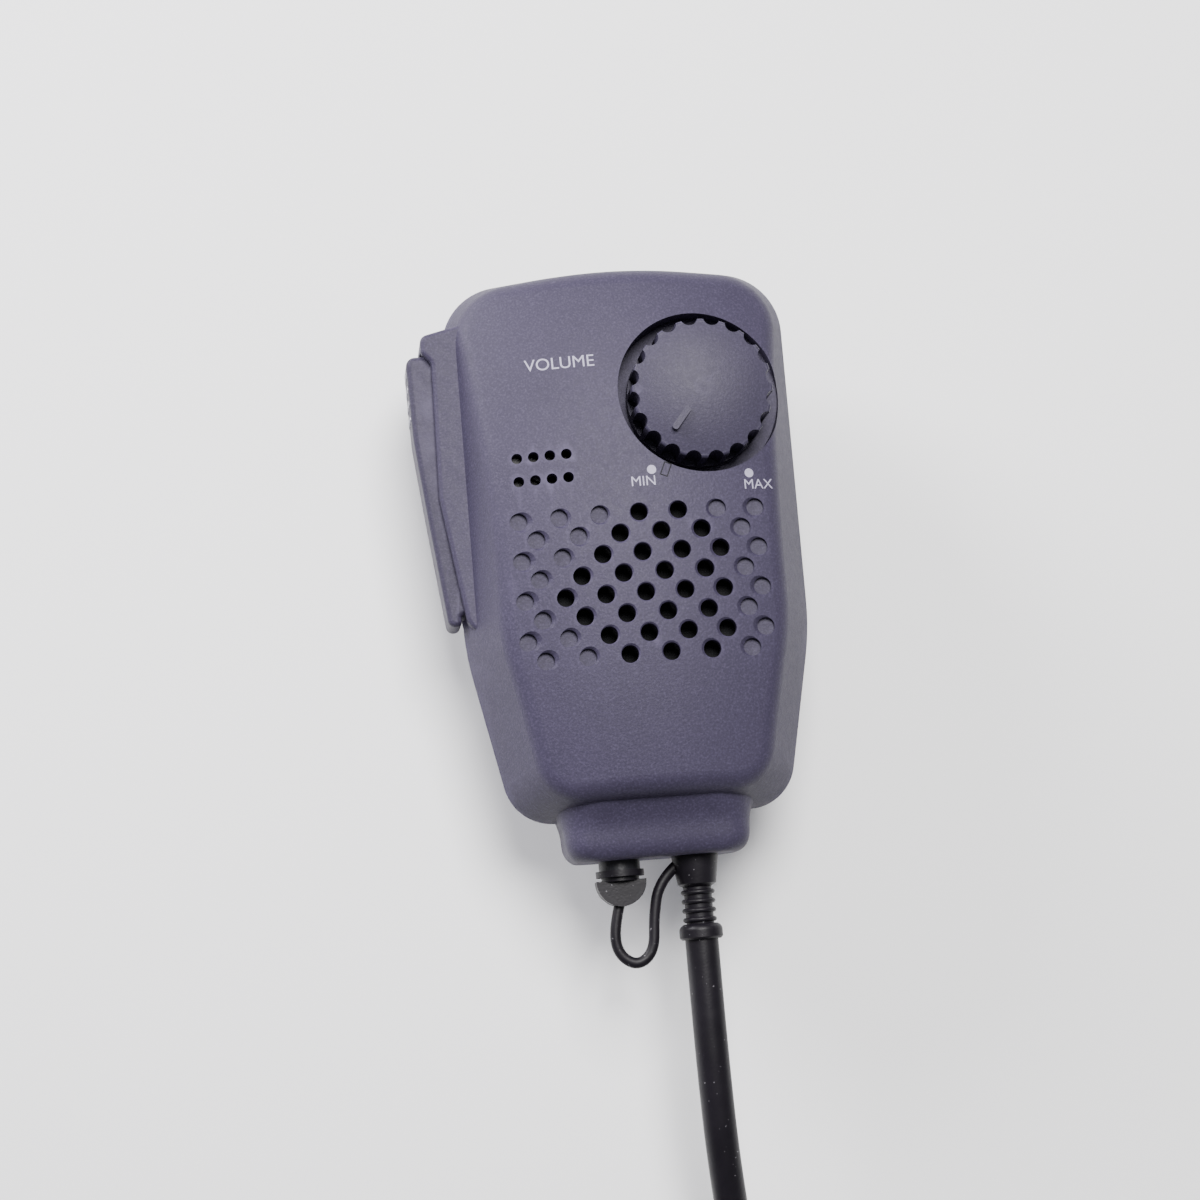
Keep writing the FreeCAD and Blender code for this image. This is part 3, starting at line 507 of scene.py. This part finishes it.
def tube(name, points, radii):
    """A closed tube along points, with an elliptical section: radii across and along Z."""
    around = 16
    shape = bmesh.new()
    rings = []
    for index, point in enumerate(points):
        before = points[max(index - 1, 0)]
        after = points[min(index + 1, len(points) - 1)]
        ahead = (after - before).normalized()
        side = ahead.cross(Vector((0, 0, 1))).normalized()
        ring = []
        for step in range(around):
            angle = 2 * math.pi * step / around
            offset = side * radii[0] * math.cos(angle) + Vector((0, 0, radii[1] * math.sin(angle)))
            ring.append(shape.verts.new(point + offset))
        rings.append(ring)
    for near, far in zip(rings, rings[1:]):
        for step in range(around):
            after = (step + 1) % around
            shape.faces.new((near[step], near[after], far[after], far[step])).smooth = True
    shape.faces.new(rings[0][::-1])
    shape.faces.new(rings[-1])
    bmesh.ops.recalc_face_normals(shape, faces=shape.faces)
    return finished(shape, name)


def spline_through(controls, steps=8):
    """Points of the quadratic curve that the control points pull on."""
    points = [controls[0]]
    for before, here, after in zip(controls, controls[1:], controls[2:]):
        start = before if before is controls[0] else (before + here) / 2
        end = after if after is controls[-1] else (here + after) / 2
        for step in range(1, steps + 1):
            t = step / steps
            points.append(start * (1 - t) ** 2 + here * 2 * t * (1 - t) + end * t**2)
    return points


def make_strap(material):
    """The cap's strap, a tube along its control points."""
    controls = [Vector((x * MM, y * MM, PARTING_Z)) for x, y in STRAP]
    mesh = tube("strap", spline_through(controls), STRAP_RADII)
    mesh.materials.append(material)
    strap = add_object("strap", mesh)
    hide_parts("cap_strap")
    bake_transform(strap)


def make_spring(material, wire=0.29 * MM, turns=4, steps=20):
    """The talk lever's return spring, a helix of wire."""
    low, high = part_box("lever_spring")
    centre = (low + high) / 2
    radius = (high.z - low.z) / 2 - wire
    reach = high.x - low.x - 2 * wire
    data = bpy.data.curves.new("spring", "CURVE")
    data.dimensions = "3D"
    data.bevel_depth = wire
    data.bevel_resolution = 2
    data.use_fill_caps = True
    spline = data.splines.new("POLY")
    spline.points.add(turns * steps)
    for index, point in enumerate(spline.points):
        share = index / (turns * steps)
        angle = 2 * math.pi * turns * share
        y = centre.y + radius * math.cos(angle)
        z = centre.z + radius * math.sin(angle)
        point.co = (low.x + wire + reach * share, y, z, 1)
    path = bpy.data.objects.new("spring", data)
    mesh = bpy.data.meshes.new_from_object(path)
    bpy.data.objects.remove(path)
    mesh.materials.clear()
    mesh.materials.append(material)
    spring = add_object("spring", mesh)
    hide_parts("lever_spring")
    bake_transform(spring)


def make_tie(material):
    """A soft band over the coil, bent round its turns and open towards the table."""
    low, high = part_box("cord_tie")
    centre = (low + high) / 2
    reach = (high.x - low.x) / 2 / MM - 0.5
    top = high.z / MM - 0.5
    profile = [
        (-reach, 0.4), (-reach, 3.4), (-reach + 0.9, 6.4), (-reach + 3.4, top), (0.0, top + 0.1),
        (reach - 3.4, top), (reach - 0.9, 6.4), (reach, 3.4), (reach, 0.4),
    ]
    data = bpy.data.curves.new("tie", "CURVE")
    data.dimensions = "2D"
    data.fill_mode = "NONE"
    data.extrude = (high.y - low.y) / 2 - TIE_HALF
    data.bevel_depth = TIE_HALF
    data.bevel_resolution = 2
    data.resolution_u = 6
    add_nurbs(data, [(x * MM, z * MM, 0) for x, z in profile])
    data.materials.append(material)
    tie = add_object("tie", data)
    tie.location = (centre.x, centre.y, 0)
    tie.rotation_euler = (math.pi / 2, 0, 0)
    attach(tie, "housing")
    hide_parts("cord_tie")
    return tie


# Lettering and marks on the front face

INK_THICK = 0.024 * MM
INK_LIFT = 0.02 * MM
CAPITAL_SHARE = 0.69  # a capital's height over the font's size


def on_crown(mesh):
    """Lay a flat mesh on the front face."""
    for vertex in mesh.vertices:
        x, y, z = vertex.co
        vertex.co.z = crown_height(x, y) + INK_LIFT + z


def at(centre, turn=0.0):
    """The place of a mark whose centre is in millimetres, turned by degrees."""
    there = Matrix.Translation((centre[0] * MM, centre[1] * MM, 0))
    return there @ Matrix.Rotation(math.radians(turn), 4, "Z")


def lettering(name, words, centre, height, material):
    """A printed word, of which height is that of its capitals."""
    curve = bpy.data.curves.new(name, "FONT")
    curve.body = words
    curve.size = height / CAPITAL_SHARE
    curve.align_x = "CENTER"
    curve.align_y = "CENTER"
    curve.extrude = INK_THICK / 2
    text = add_object(name, curve)
    bpy.context.view_layer.update()
    mesh = bpy.data.meshes.new_from_object(text.evaluated_get(bpy.context.evaluated_depsgraph_get()))
    bpy.data.objects.remove(text)
    mesh.transform(at(centre))
    print_on(name, mesh, material)


def print_on(name, mesh, material):
    """Make a flat mesh a printed mark of the front face."""
    on_crown(mesh)
    mesh.materials.clear()
    mesh.materials.append(material)
    piece = add_object(name, mesh)
    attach(piece, "housing")


def finished(shape, name):
    """Turn a shape under construction into a mesh."""
    mesh = bpy.data.meshes.new(name)
    shape.to_mesh(mesh)
    shape.free()
    return mesh


def dot(name, centre, radius, material):
    """A printed dot."""
    shape = bmesh.new()
    bmesh.ops.create_cone(
        shape, cap_ends=True, segments=40, radius1=radius, radius2=radius, depth=INK_THICK, matrix=at(centre)
    )
    print_on(name, finished(shape, name), material)


def outline(material):
    """The small outlined bar beside the MIN dot, on the side of the knob, drawn in near-black as painted
    shade of an engraved groove.
    """
    long, wide, line = 1.9 * MM, 1.0 * MM, 0.14 * MM
    bars = [
        (-wide / 2, 0.0, line, long),
        (wide / 2, 0.0, line, long),
        (0.0, -long / 2, wide + line, line),
        (0.0, long / 2, wide + line, line),
    ]
    shape = bmesh.new()
    for x, y, across, along in bars:
        place = Matrix.Translation((x, y, 0)) @ Matrix.Diagonal((across, along, INK_THICK, 1))
        bmesh.ops.create_cube(shape, size=1.0, matrix=place)
    mesh = finished(shape, "bar_outline")
    mesh.transform(at((4.35, 11.35), -24))
    print_on("bar_outline", mesh, material)


def make_marks(ink, line):
    outline(line)
    lettering("mark_volume", "VOLUME", (-9.1, 28.1), 1.75 * MM, ink)
    lettering("mark_min", "MIN", (1.0, 9.75), 1.4 * MM, ink)
    lettering("mark_max", "MAX", (17.6, 8.7), 1.4 * MM, ink)
    dot("dot_min", (2.3, 11.4), 0.65 * MM, ink)
    dot("dot_max", (16.4, 10.4), 0.65 * MM, ink)


def main():
    make_camera()
    materials = make_materials()
    cable, cable_exit = make_cord(materials["jacket"])
    finish_nodes(materials)
    make_strap(materials["rubber"])
    make_spring(materials["steel"])
    tie = make_tie(materials["band"])
    make_marks(materials["ink"], materials["line"])
    make_studio()


main()
